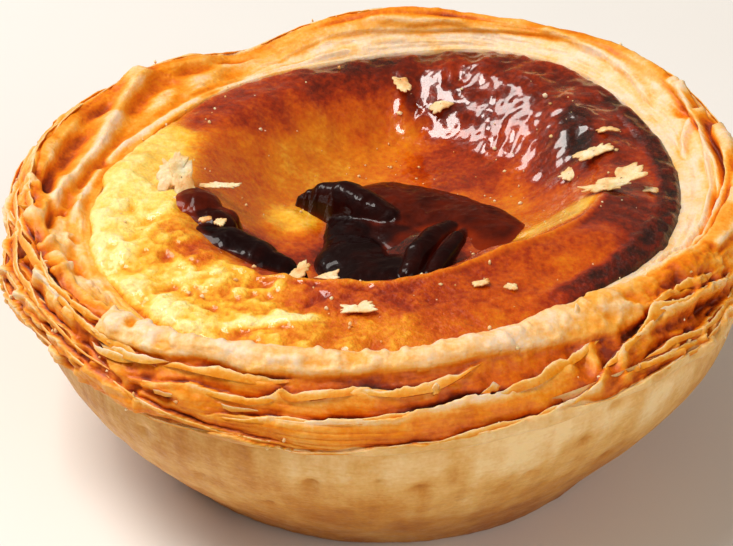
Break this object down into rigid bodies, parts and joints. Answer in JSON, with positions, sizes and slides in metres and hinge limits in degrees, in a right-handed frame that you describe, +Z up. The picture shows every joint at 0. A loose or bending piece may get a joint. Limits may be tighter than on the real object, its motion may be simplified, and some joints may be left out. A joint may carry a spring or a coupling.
{
  "type": "portuguese custard tart",
  "caption": "Round custard tart: a cup of flaky pastry with a leafy rim, filled with baked custard that has sunk and scorched on top.",
  "frame": {"origin": "middle of the flat base, on the surface that the tart stands on", "axes": "+Z up out of the filling, -Y towards the side that the picture shows at the front, +X to its right"},
  "size_m": [0.0782, 0.0779, 0.0292],
  "materials": {
    "pastry": "baked flaky pastry, dry and matt, cream to golden brown",
    "custard": "baked custard, glossy, yellow to scorched red-brown and black"
  },
  "bodies": {
    "root": {"pastry_shell": "pastry", "custard": "custard"}
  },
  "joints": []
}
